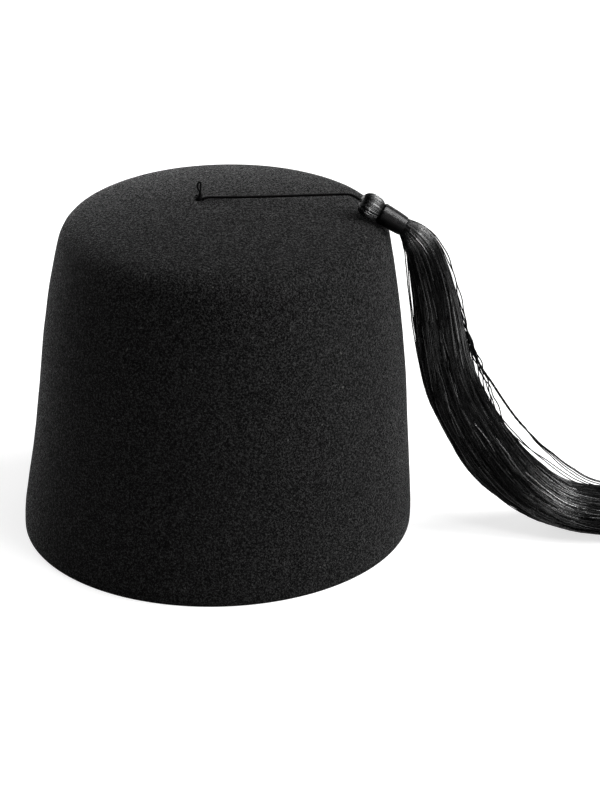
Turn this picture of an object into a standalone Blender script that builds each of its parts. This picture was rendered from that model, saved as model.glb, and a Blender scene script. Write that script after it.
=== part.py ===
"""Fez hat: a tapered crown of blocked felt with a silky tassel on a twisted cord.

Metres, +Z up. The origin is the centre of the rim, on the surface that the hat stands on. The tassel
falls towards +X. The crown is hollow and open below.
"""
import math

import bmesh
import bpy
import numpy as np
from mathutils import Vector

# Crown
RIM_RADIUS = 0.0950            # outer radius of the cut edge
CROWN_HEIGHT = 0.1672          # surface to the middle of the dome
SHOULDER_RADIUS = 0.0791       # outer radius where the wall turns into the shoulder
SHOULDER_WIDTH = 0.0140
SHOULDER_HEIGHT = 0.0126
SHOULDER_FULLNESS = 0.60       # handle length of the shoulder's curve, as a share of its size
DOME_RISE = 0.0076
WALL_BULGE = 0.0060            # how far the middle of the wall stands out of the straight taper
RIM_FLARE = 0.0097             # how far the wall turns out at the rim
FLARE_HEIGHT = 0.0398
CROWN_LEAN = 0.04              # the crown's axis moves this far to +X for each unit of height
CROWN_SWAY = 0.0010            # and is bent this far to +X in the lower wall
SWAY_HEIGHT = 0.130            # height where the bend ends
FELT_THICKNESS = 0.0030
OUTER_EDGE_ROUND = 0.0009
INNER_EDGE_ROUND = 0.0004
CROWN_SIDES = 64
WALL_STEPS = 11
SHOULDER_STEPS = 6
DOME_STEPS = 5

# Gap that separate pieces keep where they meet
SEAT_GAP = 0.0003

# Thread stalk, loop and knot on top of the crown
KNOT_CENTRE_X = -0.0059
KNOT_CENTRE_Y = -0.0004
KNOT_RADII = (0.0022, 0.0016, 0.0009)
STALK_RADIUS = 0.00068
LOOP_THREAD_RADIUS = 0.00050
LOOP_HALF_WIDTH = 0.00105
LOOP_START = 0.80              # share of the stalk's height where the loop starts
LOOP_SHAPE = (0.45, 0.75)      # width of the loop at its foot, and what it gains towards its tip
LOOP_STEPS = 20
STALK_SIDES = 10
LOOP_SIDES = 8
KNOT_SIDES = 14
STALK_FOOT = (-0.0055, -0.0004, 0.1682)
STALK_TOP = (-0.0048, -0.0004, 0.1722)
LOOP_TIP = (-0.0056, -0.0004, 0.1759)

# Cord: the route of its centre line, from the knot to the tassel's head
CORD_DIAMETER = 0.0013
CORD_STEP = 0.0032             # distance between the points of the tube
CORD_ROUTE = (
    (-0.0033, -0.0008, 0.16805),
    (-0.0010, -0.0003, 0.16825),
    (0.0040, -0.0010, 0.16845),
    (0.0140, -0.0022, 0.16885),
    (0.0240, -0.0032, 0.16925),
    (0.0340, -0.0040, 0.16965),
    (0.0440, -0.0047, 0.17005),
    (0.0530, -0.0054, 0.1704),
    (0.0600, -0.0060, 0.1707),
    (0.0643, -0.0066, 0.1708),
    (0.0674, -0.0078, 0.1703),
    (0.0699, -0.00839, 0.16874),
)

# Tassel head: a thread covered ball and the bound neck below it, on one straight axis
KNOB_CENTRE = Vector((0.07535, -0.0088, 0.16519))
NECK_END = Vector((0.0911, -0.0110, 0.15545))
KNOB_RADIUS = 0.00615
KNOB_HALF_LENGTH = 0.0064
KNOB_CAP = 0.0061              # where the ball ends in a small flat cap
KNOB_SHAPE = 2.5
KNOB_STEPS = 9
KNOB_TAIL = 0.0004             # the ball's last ring lies this far before the binding
NECK_START = 0.0050            # distance from the ball's centre to the binding
CORE_RADIUS = 0.0038
CORE_MIDDLE = 0.35             # share of the neck's length where the core has one more ring
# Outside of the binding: share of its length from the ball, radius
BINDING_SHAPE = (
    (0.00, 0.0049),
    (0.05, 0.0052),
    (0.60, 0.0051),
    (0.94, 0.0048),
    (1.00, 0.0046),
)
BINDING_END_GAP = 0.0007       # where the threads spread out of the binding
BINDING_SIDES = 28

# Skirt: the route of its centre line after the neck, lying down on the surface at its end
SKIRT_ROUTE = (
    (0.0948, -0.0119, 0.1521),
    (0.0993, -0.0126, 0.1458),
    (0.1031, -0.0132, 0.1344),
    (0.1065, -0.0139, 0.1190),
    (0.1088, -0.0146, 0.1036),
    (0.1113, -0.0154, 0.0881),
    (0.1156, -0.0163, 0.0725),
    (0.1229, -0.0173, 0.0570),
    (0.1328, -0.0184, 0.0406),
    (0.1453, -0.0196, 0.0266),
    (0.1599, -0.0208, 0.0162),
    (0.1743, -0.0220, 0.0107),
    (0.1890, -0.0231, 0.0090),
    (0.2060, -0.0242, 0.0082),
    (0.2230, -0.0252, 0.0070),
)
# Cross section of the skirt: distance along it from the neck, half height across the threads in the
# upright plane, half width in the level direction, and depth of the grooves between its locks
SKIRT_SECTIONS = (
    # along, half_height, half_width, groove
    (0.000, 0.0043, 0.0042, 0.00),
    (0.003, 0.0058, 0.0056, 0.06),
    (0.007, 0.0074, 0.0068, 0.12),
    (0.015, 0.0088, 0.0078, 0.16),
    (0.030, 0.0104, 0.0090, 0.18),
    (0.050, 0.0119, 0.0100, 0.20),
    (0.070, 0.0126, 0.0108, 0.20),
    (0.095, 0.0132, 0.0118, 0.20),
    (0.125, 0.0137, 0.0136, 0.20),
    (0.150, 0.0122, 0.0164, 0.20),
    (0.172, 0.0096, 0.0190, 0.20),
    (0.195, 0.0088, 0.0196, 0.20),
    (0.215, 0.0078, 0.0190, 0.22),
    (0.228, 0.0066, 0.0180, 0.26),
)
SKIRT_STEP = 0.0085
SPREAD_STATIONS = (0.0006, 0.003, 0.006)    # closer rings where the threads leave the binding
DIRECTION_REACH = 0.002        # the skirt's direction is taken over this length each way
LOCKS = 12
POINTS_PER_LOCK = 4
LOCK_WAVER = 0.25              # how much the locks differ in fullness, as a share of the grooves
WAVER_WAVES = 3                # fuller places round the skirt
WAVER_TURN = 18.0              # how fast the fuller places move round, in radians for each metre
TIP_SPREAD = 0.0045            # how much the cut ends of the locks differ in length
TIP_HOLLOW = 0.006             # how far the end falls in between the tips

# Colours: base colour, roughness, sheen
FELT_LOOK = ((0.012, 0.012, 0.013), 0.95, 0.5)
THREAD_LOOK = ((0.008, 0.008, 0.009), 0.45, 0.2)


def make_material(name, look):
    """Principled material with one colour."""
    colour, roughness, sheen = look
    material = bpy.data.materials.new(name)
    material.use_nodes = True
    shader = material.node_tree.nodes["Principled BSDF"]
    shader.inputs["Base Color"].default_value = (*colour, 1.0)
    shader.inputs["Roughness"].default_value = roughness
    shader.inputs["Metallic"].default_value = 0.0
    shader.inputs["Sheen Weight"].default_value = sheen
    return material


def add_object(name, data, material):
    """Link an object that holds the given mesh or curve."""
    data.materials.append(material)
    thing = bpy.data.objects.new(name, data)
    bpy.context.scene.collection.objects.link(thing)
    return thing


def skin_rings(name, rings, material, tips=None):
    """Closed body through rings of points.

    With tips, each end is closed by a fan to its tip. Without, the last ring joins the first.
    """
    bm = bmesh.new()
    loops = [[bm.verts.new(point) for point in ring] for ring in rings]
    sides = len(loops[0])
    pairs = list(zip(loops, loops[1:]))
    if tips is None:
        pairs.append((loops[-1], loops[0]))
    for lower, upper in pairs:
        for i in range(sides):
            j = (i + 1) % sides
            bm.faces.new((lower[i], lower[j], upper[j], upper[i]))
    if tips is not None:
        for loop, tip in ((loops[0], tips[0]), (loops[-1], tips[1])):
            centre = bm.verts.new(tip)
            for i in range(sides):
                bm.faces.new((loop[i], loop[(i + 1) % sides], centre))
    bmesh.ops.recalc_face_normals(bm, faces=bm.faces)
    mesh = bpy.data.meshes.new(name)
    bm.to_mesh(mesh)
    bm.free()
    mesh.shade_smooth()
    mesh.set_sharp_from_angle(angle=math.radians(50))
    return add_object(name, mesh, material)


def smooth_route(points, step):
    """Points about one step apart on a smooth curve through the given ones, with the ends kept."""
    given = np.array(points, dtype=float)
    first = 2 * given[0] - given[1]
    last = 2 * given[-1] - given[-2]
    padded = np.vstack((first, given, last))
    fine = []
    for i in range(1, len(padded) - 2):
        before, start, end, after = padded[i - 1:i + 3]
        for t in np.linspace(0, 1, 24, endpoint=False):
            fine.append(0.5 * (2 * start + (end - before) * t
                               + (2 * before - 5 * start + 4 * end - after) * t ** 2
                               + (3 * start - before - 3 * end + after) * t ** 3))
    fine.append(given[-1])
    fine = np.array(fine)
    gone = np.concatenate(([0.0], np.cumsum(np.linalg.norm(np.diff(fine, axis=0), axis=1))))
    count = max(2, round(gone[-1] / step) + 1)
    wanted = np.linspace(0, gone[-1], count)
    return np.column_stack([np.interp(wanted, gone, fine[:, k]) for k in range(3)]), wanted


# ---------------------------------------------------------------- crown

def wall_top():
    """Height where the wall ends and the shoulder starts."""
    return CROWN_HEIGHT - DOME_RISE - SHOULDER_HEIGHT


def wall_radius(z):
    """Outer radius of the wall: a taper that bulges a little and flares at the rim."""
    share = z / wall_top()
    foot = RIM_RADIUS - RIM_FLARE
    taper = foot + (SHOULDER_RADIUS - foot) * share
    bulge = 4 * WALL_BULGE * share * (1 - share)
    return taper + bulge + RIM_FLARE * math.exp(-(z / FLARE_HEIGHT) ** 1.5)


def wall_slope(z):
    """Change of the wall's radius for each unit of height."""
    reach = 0.0005
    return (wall_radius(z + reach) - wall_radius(z - reach)) / (2 * reach)


def top_profile():
    """Outer (radius, height) points of the dome and shoulder, from the middle out and down."""
    dome_radius = SHOULDER_RADIUS - SHOULDER_WIDTH
    dome = []
    for i in range(1, DOME_STEPS + 1):
        radius = dome_radius * i / DOME_STEPS
        dome.append((radius, CROWN_HEIGHT - DOME_RISE * (radius / dome_radius) ** 2))
    start = np.array(dome[-1])
    end = np.array((wall_radius(wall_top()), wall_top()))
    out = SHOULDER_FULLNESS * SHOULDER_WIDTH * np.array((1.0, -2 * DOME_RISE / dome_radius))
    up = SHOULDER_FULLNESS * SHOULDER_HEIGHT * np.array((wall_slope(wall_top()), 1.0))
    shoulder = []
    for i in range(1, SHOULDER_STEPS + 1):
        t = i / SHOULDER_STEPS
        point = ((1 - t) ** 3 * start + 3 * (1 - t) ** 2 * t * (start + out)
                 + 3 * (1 - t) * t ** 2 * (end + up) + t ** 3 * end)
        shoulder.append(tuple(point))
    return dome + shoulder


def inside_of(profile):
    """The same points moved in by the felt's thickness, square to the outer surface."""
    points = np.array([(0.0, CROWN_HEIGHT)] + profile)
    along = np.gradient(points, axis=0)
    normal = np.column_stack((-along[:, 1], along[:, 0]))
    normal /= np.linalg.norm(normal, axis=1)[:, None]
    return [tuple(point) for point in (points - FELT_THICKNESS * normal)[1:]]


def rim_arc(radius, height_of_centre, edge, start_angle):
    """Two points of a rounded edge of the cut felt."""
    arc = []
    for turn in (math.radians(30), math.radians(60)):
        angle = start_angle - turn
        arc.append((radius + edge * math.cos(angle), height_of_centre + edge * math.sin(angle)))
    return arc


def crown_axis(z):
    """Place of the crown's axis along X at a height."""
    return CROWN_LEAN * z + CROWN_SWAY * math.sin(math.pi * min(z / SWAY_HEIGHT, 1.0)) ** 2


def crown_profile():
    """Closed run of (radius, height) points: down the outside, across the rim and up the inside."""
    top = top_profile()
    heights = [wall_top() * (1 - i / WALL_STEPS) for i in range(1, WALL_STEPS)]
    outer_wall = [(wall_radius(z), z) for z in heights]
    rim_out = wall_radius(OUTER_EDGE_ROUND)
    rim_in = wall_radius(INNER_EDGE_ROUND) - FELT_THICKNESS
    outer_edge = [(rim_out, OUTER_EDGE_ROUND)]
    outer_edge += rim_arc(rim_out - OUTER_EDGE_ROUND, OUTER_EDGE_ROUND, OUTER_EDGE_ROUND, 0.0)
    outer_edge.append((rim_out - OUTER_EDGE_ROUND, 0.0))
    inner_edge = [(rim_in + INNER_EDGE_ROUND, 0.0), (rim_in, INNER_EDGE_ROUND)]
    inner_wall = []
    for z in reversed(heights):
        inner_wall.append((wall_radius(z) - FELT_THICKNESS * math.hypot(1.0, wall_slope(z)), z))
    inner_top = list(reversed(inside_of(top)))
    return top + outer_wall + outer_edge + inner_edge + inner_wall + inner_top


def build_crown(material):
    """Hollow felt shell of one piece, open below."""
    rings = []
    for radius, z in crown_profile():
        ring = []
        for i in range(CROWN_SIDES):
            angle = 2 * math.pi * i / CROWN_SIDES
            ring.append((radius * math.cos(angle) + crown_axis(z), radius * math.sin(angle), z))
        rings.append(ring)
    outer_tip = (crown_axis(CROWN_HEIGHT), 0.0, CROWN_HEIGHT)
    ceiling = CROWN_HEIGHT - FELT_THICKNESS
    inner_tip = (crown_axis(ceiling), 0.0, ceiling)
    return skin_rings("crown", rings, material, (outer_tip, inner_tip))


def dome_height(x, y):
    """Height of the crown's domed top above a point."""
    radius = math.hypot(x - crown_axis(CROWN_HEIGHT), y)
    return CROWN_HEIGHT - DOME_RISE * (radius / (SHOULDER_RADIUS - SHOULDER_WIDTH)) ** 2


# ---------------------------------------------------------------- stalk, loop and knot

def tube_rings(centres, radii, sides, closed=False):
    """Rings of a round tube in a plane of constant Y, along the given centres."""
    centres = [Vector(centre) for centre in centres]
    level = Vector((0.0, 1.0, 0.0))
    rings = []
    for i, centre in enumerate(centres):
        if closed:
            ahead = centres[(i + 1) % len(centres)] - centres[i - 1]
        else:
            ahead = centres[min(i + 1, len(centres) - 1)] - centres[max(i - 1, 0)]
        side = ahead.cross(level).normalized()
        ring = []
        for k in range(sides):
            angle = 2 * math.pi * k / sides
            ring.append(centre + radii[i] * (math.cos(angle) * side + math.sin(angle) * level))
        rings.append(ring)
    return rings


def build_stem_loop(material):
    """Thread stalk with a drop shaped loop on it and a knot at its foot, joined into one body."""
    foot = Vector(STALK_FOOT)
    top = Vector(STALK_TOP)
    shape = (
        # share of the height, share of the radius
        (0.00, 1.3),
        (0.35, 1.0),
        (0.70, 0.9),
        (1.00, 1.0),
    )
    stalk_centres = [foot.lerp(top, share) for share, _ in shape]
    stalk_radii = [STALK_RADIUS * fullness for _, fullness in shape]
    stalk = skin_rings("stem_loop", tube_rings(stalk_centres, stalk_radii, STALK_SIDES), material,
                       (stalk_centres[0], stalk_centres[-1]))

    loop_foot = foot.lerp(top, LOOP_START)
    up = Vector(LOOP_TIP) - loop_foot
    side = up.cross(Vector((0.0, 1.0, 0.0))).normalized()
    loop_centres = []
    for i in range(LOOP_STEPS):
        turn = 2 * math.pi * i / LOOP_STEPS
        rise = (1 - math.cos(turn)) / 2
        out = LOOP_HALF_WIDTH * math.sin(turn) * (LOOP_SHAPE[0] + LOOP_SHAPE[1] * rise)
        loop_centres.append(loop_foot + rise * up + out * side)
    loop_radii = [LOOP_THREAD_RADIUS] * LOOP_STEPS
    loop_rings = tube_rings(loop_centres, loop_radii, LOOP_SIDES, closed=True)
    loop = skin_rings("loop_of_thread", loop_rings, material)

    lowest = dome_height(KNOT_CENTRE_X, KNOT_CENTRE_Y) + SEAT_GAP
    centre = Vector((KNOT_CENTRE_X, KNOT_CENTRE_Y, lowest + KNOT_RADII[2]))
    knot_rings = []
    for tilt in (-60, -30, 0, 30, 60):
        level = math.cos(math.radians(tilt))
        ring = []
        for k in range(KNOT_SIDES):
            angle = 2 * math.pi * k / KNOT_SIDES
            ring.append(centre + Vector((KNOT_RADII[0] * level * math.cos(angle),
                                         KNOT_RADII[1] * level * math.sin(angle),
                                         KNOT_RADII[2] * math.sin(math.radians(tilt)))))
        knot_rings.append(ring)
    drop = Vector((0.0, 0.0, KNOT_RADII[2]))
    knot = skin_rings("knot_of_thread", knot_rings, material, (centre - drop, centre + drop))

    for other in (loop, knot):
        other.hide_render = True
        other.display_type = "WIRE"
        union = stalk.modifiers.new("join_" + other.name, "BOOLEAN")
        union.operation = "UNION"
        union.solver = "EXACT"
        union.use_self = True
        union.object = other
    return stalk


# ---------------------------------------------------------------- cord

def build_cord(material):
    """Thin round cord along its route."""
    centres, _ = smooth_route(CORD_ROUTE, CORD_STEP)
    curve = bpy.data.curves.new("tassel_cord", "CURVE")
    curve.dimensions = "3D"
    curve.bevel_depth = CORD_DIAMETER / 2
    curve.bevel_resolution = 2
    curve.use_fill_caps = True
    spline = curve.splines.new("POLY")
    spline.points.add(len(centres) - 1)
    for point, centre in zip(spline.points, centres):
        point.co = (*centre, 1.0)
    return add_object("tassel_cord", curve, material)


# ---------------------------------------------------------------- tassel

def head_axis():
    """Unit vector from the ball towards the skirt."""
    return (NECK_END - KNOB_CENTRE).normalized()


def cross_section(centre, ahead, half_height, half_width, factors):
    """Ring of points across the threads, each at its own share of the half sizes.

    The first point lies towards the crown and the surface it stands on.
    """
    level = (Vector((0.0, 1.0, 0.0)) - ahead * ahead.y).normalized()
    under = level.cross(ahead)
    ring = []
    for i, factor in enumerate(factors):
        angle = 2 * math.pi * i / len(factors)
        ring.append(centre + factor * (half_height * math.cos(angle) * under
                                       + half_width * math.sin(angle) * level))
    return ring


def knob_radius(along):
    """Radius of the ball at a distance along its axis."""
    return KNOB_RADIUS * math.sqrt(1 - abs(along / KNOB_HALF_LENGTH) ** KNOB_SHAPE)


def lock_factors(along, groove):
    """Share of the half size round the skirt: a full lock between two grooves, again and again."""
    factors = []
    for i in range(LOCKS * POINTS_PER_LOCK):
        angle = 2 * math.pi * i / (LOCKS * POINTS_PER_LOCK)
        ridge = abs(math.cos(LOCKS * angle / 2))
        waver = LOCK_WAVER * math.sin(WAVER_WAVES * angle + WAVER_TURN * along)
        factors.append(1 - groove * (1 - ridge - waver))
    return factors


def point_at(s, gone, centres):
    """Point at a distance along the skirt's centre line."""
    return Vector([float(np.interp(s, gone, centres[:, k])) for k in range(3)])


def tassel_rings():
    """Rings from the ball's cap through the core of the neck to the tips of the skirt."""
    ahead = head_axis()
    sides = LOCKS * POINTS_PER_LOCK
    round_ring = [1.0] * sides
    rings = []
    knob_end = NECK_START - KNOB_TAIL
    for i in range(KNOB_STEPS):
        along = -KNOB_CAP + (knob_end + KNOB_CAP) * i / (KNOB_STEPS - 1)
        radius = knob_radius(along)
        rings.append(cross_section(KNOB_CENTRE + along * ahead, ahead, radius, radius, round_ring))
    neck_length = (NECK_END - KNOB_CENTRE).length
    middle = NECK_START + CORE_MIDDLE * neck_length
    for along in (NECK_START, middle, neck_length - SEAT_GAP):
        rings.append(cross_section(KNOB_CENTRE + along * ahead, ahead, CORE_RADIUS, CORE_RADIUS,
                                   round_ring))

    centres, gone = smooth_route((NECK_END,) + SKIRT_ROUTE, SKIRT_STEP)
    table = np.array(SKIRT_SECTIONS)
    for s in sorted(SPREAD_STATIONS + tuple(gone[1:])):
        centre = point_at(s, gone, centres)
        nearby = min(max(s, DIRECTION_REACH), gone[-1] - DIRECTION_REACH)
        before = point_at(nearby - DIRECTION_REACH, gone, centres)
        after = point_at(nearby + DIRECTION_REACH, gone, centres)
        half_height, half_width, groove = (
            float(np.interp(s, table[:, 0], table[:, k])) for k in (1, 2, 3))
        ring = cross_section(centre, (after - before).normalized(), half_height, half_width,
                             lock_factors(s, groove))
        rings.append(ring)
    return rings


def spread_tips(ring):
    """Move the last ring's points along the threads, so that each lock has a tip of its own."""
    ahead = Vector((1.0, 0.0, 0.0))
    moved = []
    for i, point in enumerate(ring):
        lock = round(i / POINTS_PER_LOCK) % LOCKS
        in_groove = i % POINTS_PER_LOCK == POINTS_PER_LOCK // 2
        reach = -TIP_SPREAD if in_groove else TIP_SPREAD * math.sin(2.4 * lock)
        moved.append(point + reach * ahead)
    return moved


def build_tassel_skein(material):
    """Ball, core and skirt of one bundle of threads, with the skirt lying down at its end."""
    rings = tassel_rings()
    rings[-1] = spread_tips(rings[-1])
    for ring in rings:
        for point in ring:
            point.z = max(point.z, SEAT_GAP)
    cap = KNOB_CENTRE - KNOB_CAP * head_axis()
    end = sum(rings[-1], Vector()) / len(rings[-1]) - Vector((TIP_HOLLOW, 0.0, 0.0))
    return skin_rings("tassel_skein", rings, material, (cap, end))


def build_neck_binding(material):
    """Sleeve of wound thread round the neck's core."""
    ahead = head_axis()
    first = NECK_START + SEAT_GAP
    last = (NECK_END - KNOB_CENTRE).length - BINDING_END_GAP
    inner = CORE_RADIUS + SEAT_GAP
    rings = []
    for share, radius in ((0.0, inner),) + BINDING_SHAPE + ((1.0, inner),):
        centre = KNOB_CENTRE + (first + (last - first) * share) * ahead
        rings.append(cross_section(centre, ahead, radius, radius, [1.0] * BINDING_SIDES))
    return skin_rings("neck_binding", rings, material)


def main():
    for thing in list(bpy.data.objects):
        bpy.data.objects.remove(thing, do_unlink=True)
    build_crown(make_material("black_felt", FELT_LOOK))
    build_stem_loop(make_material("stem_thread", THREAD_LOOK))
    build_cord(make_material("twisted_cord", THREAD_LOOK))
    build_tassel_skein(make_material("tassel_thread", THREAD_LOOK))
    build_neck_binding(make_material("binding_thread", THREAD_LOOK))


main()
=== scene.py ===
import math

import bpy
import numpy as np
from mathutils import Matrix, Vector, noise


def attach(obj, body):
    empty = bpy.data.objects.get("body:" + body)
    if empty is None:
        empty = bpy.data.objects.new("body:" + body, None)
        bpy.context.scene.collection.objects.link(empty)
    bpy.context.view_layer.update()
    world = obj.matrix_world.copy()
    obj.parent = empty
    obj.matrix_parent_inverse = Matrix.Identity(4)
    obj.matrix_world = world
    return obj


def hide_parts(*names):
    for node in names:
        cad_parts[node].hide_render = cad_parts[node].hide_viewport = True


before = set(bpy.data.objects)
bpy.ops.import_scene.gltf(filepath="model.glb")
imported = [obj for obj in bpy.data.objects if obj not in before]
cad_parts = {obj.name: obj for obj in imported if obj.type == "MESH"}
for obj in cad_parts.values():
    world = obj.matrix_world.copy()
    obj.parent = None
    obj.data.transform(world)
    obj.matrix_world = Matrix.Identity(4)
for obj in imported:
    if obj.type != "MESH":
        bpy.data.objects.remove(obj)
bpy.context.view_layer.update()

rng = np.random.default_rng(20)

# ---------------------------------------- sizes shared with the solids, in metres

# Crown
RIM_RADIUS = 0.0950
CROWN_HEIGHT = 0.1672
SHOULDER_RADIUS = 0.0791
SHOULDER_WIDTH = 0.0140
SHOULDER_HEIGHT = 0.0126
SHOULDER_FULLNESS = 0.60
DOME_RISE = 0.0076
WALL_BULGE = 0.0060
RIM_FLARE = 0.0097
FLARE_HEIGHT = 0.0398
FLARE_POWER = 1.5
CROWN_LEAN = 0.04
CROWN_SWAY = 0.0010
SWAY_HEIGHT = 0.130
FELT_THICKNESS = 0.0030
EDGE_ROUND = 0.0009
CROWN_SIDES = 176

# Stalk, loop and knot
STALK_FOOT = Vector((-0.0055, -0.0004, 0.1679))
STALK_TOP = Vector((-0.0048, -0.0004, 0.1722))
LOOP_TIP = Vector((-0.0056, -0.0004, 0.1759))
LOOP_HALF_WIDTH = 0.00105
KNOT_CENTRE = (-0.0058, -0.0002)
KNOT_RADII = (0.0015, 0.0009)

# Cord
CORD_DIAMETER = 0.0013
CORD_ROUTE = (
    (-0.0033, -0.0008, 0.16805),
    (-0.0010, -0.0003, 0.16825),
    (0.0040, -0.0010, 0.16845),
    (0.0140, -0.0022, 0.16885),
    (0.0240, -0.0032, 0.16925),
    (0.0340, -0.0040, 0.16965),
    (0.0440, -0.0047, 0.17005),
    (0.0530, -0.0054, 0.1704),
    (0.0600, -0.0060, 0.1707),
    (0.0643, -0.0066, 0.1708),
    (0.0674, -0.0078, 0.1703),
    (0.0699, -0.00839, 0.16874),
)

# Tassel
KNOB_CENTRE = Vector((0.07535, -0.0088, 0.16519))
NECK_END = Vector((0.0911, -0.0110, 0.15545))
KNOB_RADIUS = 0.00615
KNOB_HALF_LENGTH = 0.0064
KNOB_CAP = 0.0061
KNOB_SHAPE = 2.5
NECK_START = 0.0050
CORE_RADIUS = 0.0038
BINDING_SHAPE = (
    # share of the neck's binding from the ball, outside radius
    (0.00, 0.0049),
    (0.05, 0.0052),
    (0.60, 0.0051),
    (0.94, 0.0048),
    (1.00, 0.0046),
)
SKIRT_ROUTE = (
    (0.0948, -0.0119, 0.1521),
    (0.0993, -0.0126, 0.1458),
    (0.1031, -0.0132, 0.1344),
    (0.1065, -0.0139, 0.1190),
    (0.1088, -0.0146, 0.1036),
    (0.1113, -0.0154, 0.0881),
    (0.1156, -0.0163, 0.0725),
    (0.1229, -0.0173, 0.0570),
    (0.1328, -0.0184, 0.0406),
    (0.1453, -0.0196, 0.0266),
    (0.1599, -0.0208, 0.0162),
    (0.1743, -0.0220, 0.0107),
    (0.1890, -0.0231, 0.0090),
    (0.2060, -0.0242, 0.0082),
    (0.2230, -0.0252, 0.0070),
)
SKIRT_SECTIONS = (
    # along, half_height, half_width, groove
    (0.000, 0.0043, 0.0042, 0.00),
    (0.003, 0.0058, 0.0056, 0.06),
    (0.007, 0.0074, 0.0068, 0.12),
    (0.015, 0.0088, 0.0078, 0.16),
    (0.030, 0.0104, 0.0090, 0.18),
    (0.050, 0.0119, 0.0100, 0.20),
    (0.070, 0.0126, 0.0108, 0.20),
    (0.095, 0.0132, 0.0118, 0.20),
    (0.125, 0.0137, 0.0136, 0.20),
    (0.150, 0.0122, 0.0164, 0.20),
    (0.172, 0.0096, 0.0190, 0.20),
    (0.195, 0.0088, 0.0196, 0.20),
    (0.215, 0.0078, 0.0190, 0.22),
    (0.228, 0.0066, 0.0180, 0.26),
)
LOCKS = 12
FLOOR_GAP = 0.0003
THREAD_BODY = (
    # along, shares of the half height that the close threads fill: away from the crown, towards it
    (0.000, 1.00, 1.00),
    (0.006, 0.94, 0.96),
    (0.015, 0.89, 0.97),
    (0.030, 0.86, 1.01),
    (0.070, 0.88, 1.03),
    (0.095, 0.97, 1.04),
    (0.120, 0.98, 1.03),
    (0.150, 1.02, 1.02),
    (0.175, 1.00, 1.00),
)

Y_AXIS = (0.0, 1.0, 0.0)
Z_AXIS = (0.0, 0.0, 1.0)

# ---------------------------------------- camera

CAMERA_AT = Vector((0.00086, -1.31709, 0.68334))
CAMERA_AZIMUTH = math.radians(-1.7565)
CAMERA_ELEVATION = math.radians(25.2677)
CAMERA_ROLL = math.radians(-0.4957)
CAMERA_LENS = 134.476
CAMERA_SENSOR = 36.0
CAMERA_NEAR = 0.05
CAMERA_FAR = 60.0


def direction(azimuth, elevation):
    """Direction from the hat, with azimuth from -Y towards +X and elevation upwards, in radians."""
    return Vector((math.sin(azimuth) * math.cos(elevation), -math.cos(azimuth) * math.cos(elevation),
                   math.sin(elevation)))


def make_camera():
    data = bpy.data.cameras.new("camera")
    data.lens = CAMERA_LENS
    data.sensor_width = CAMERA_SENSOR
    data.clip_start = CAMERA_NEAR
    data.clip_end = CAMERA_FAR
    back = direction(CAMERA_AZIMUTH, CAMERA_ELEVATION)
    level = Vector(Z_AXIS).cross(back).normalized()
    right = math.cos(CAMERA_ROLL) * level + math.sin(CAMERA_ROLL) * back.cross(level)
    up = back.cross(right)
    camera = bpy.data.objects.new("camera", data)
    camera.matrix_world = Matrix.Translation(CAMERA_AT) @ Matrix((right, up, back)).transposed().to_4x4()
    bpy.context.scene.collection.objects.link(camera)
    bpy.context.scene.camera = camera


make_camera()

# ---------------------------------------- helpers: curves and meshes

CURVE_STEPS = 24
# the map of a bundle: each thread has its own upright strip, with its sides between its two ends
STRIP_MARGIN = 0.08
STRIP_WIDTH = 0.84
SIDES_LOW = 0.02
SIDES_HEIGHT = 0.94
ENDS_MIDDLES = (0.01, 0.975)
ENDS_HALF_HEIGHT = 0.006
ENDS_HALF_WIDTH = 0.3
# how much a thread's own draw and its group's draw count for its tone, and the seed of the groups
TONE_OWN = 0.6
TONE_SHARED = 0.4
TONE_SEED = 7


def run_along(line):
    """Distance of every point of a line from its first one, along the line."""
    return np.concatenate(([0.0], np.cumsum(np.linalg.norm(np.diff(line, axis=0), axis=1))))


def from_table(table, at, column=1):
    """One column of a table, read between its rows at the given places in its first column."""
    table = np.array(table)
    return np.interp(at, table[:, 0], table[:, column])


def smooth_route(points, step):
    """Points about one step apart on a smooth curve through the given ones, with the ends kept."""
    given = np.array(points, dtype=float)
    padded = np.vstack((2 * given[0] - given[1], given, 2 * given[-1] - given[-2]))
    fine = []
    for i in range(1, len(padded) - 2):
        before, start, end, after = padded[i - 1:i + 3]
        for t in np.linspace(0, 1, CURVE_STEPS, endpoint=False):
            fine.append(0.5 * (2 * start + (end - before) * t
                               + (2 * before - 5 * start + 4 * end - after) * t ** 2
                               + (3 * start - before - 3 * end + after) * t ** 3))
    fine.append(given[-1])
    fine = np.array(fine)
    gone = run_along(fine)
    count = max(2, round(gone[-1] / step) + 1)
    wanted = np.linspace(0, gone[-1], count)
    return np.column_stack([np.interp(wanted, gone, fine[:, k]) for k in range(3)]), wanted


def unit(vectors):
    return vectors / np.maximum(np.linalg.norm(vectors, axis=-1, keepdims=True), 1e-12)


def raw_mesh(name, points, corners, counts, uv=None):
    """Mesh from arrays: points, the corners of every face in a row, and how many each face has."""
    mesh = bpy.data.meshes.new(name)
    mesh.vertices.add(len(points))
    mesh.vertices.foreach_set("co", np.ascontiguousarray(points, dtype=np.float32).ravel())
    mesh.loops.add(len(corners))
    mesh.loops.foreach_set("vertex_index", np.ascontiguousarray(corners, dtype=np.int32))
    starts = np.concatenate(([0], np.cumsum(counts)[:-1])).astype(np.int32)
    mesh.polygons.add(len(counts))
    mesh.polygons.foreach_set("loop_start", starts)
    mesh.update(calc_edges=True)
    if uv is not None:
        layer = mesh.uv_layers.new(name="OFBake")
        layer.data.foreach_set("uv", np.ascontiguousarray(uv, dtype=np.float32).ravel())
    mesh.validate()
    mesh.shade_smooth()
    return mesh


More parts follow.
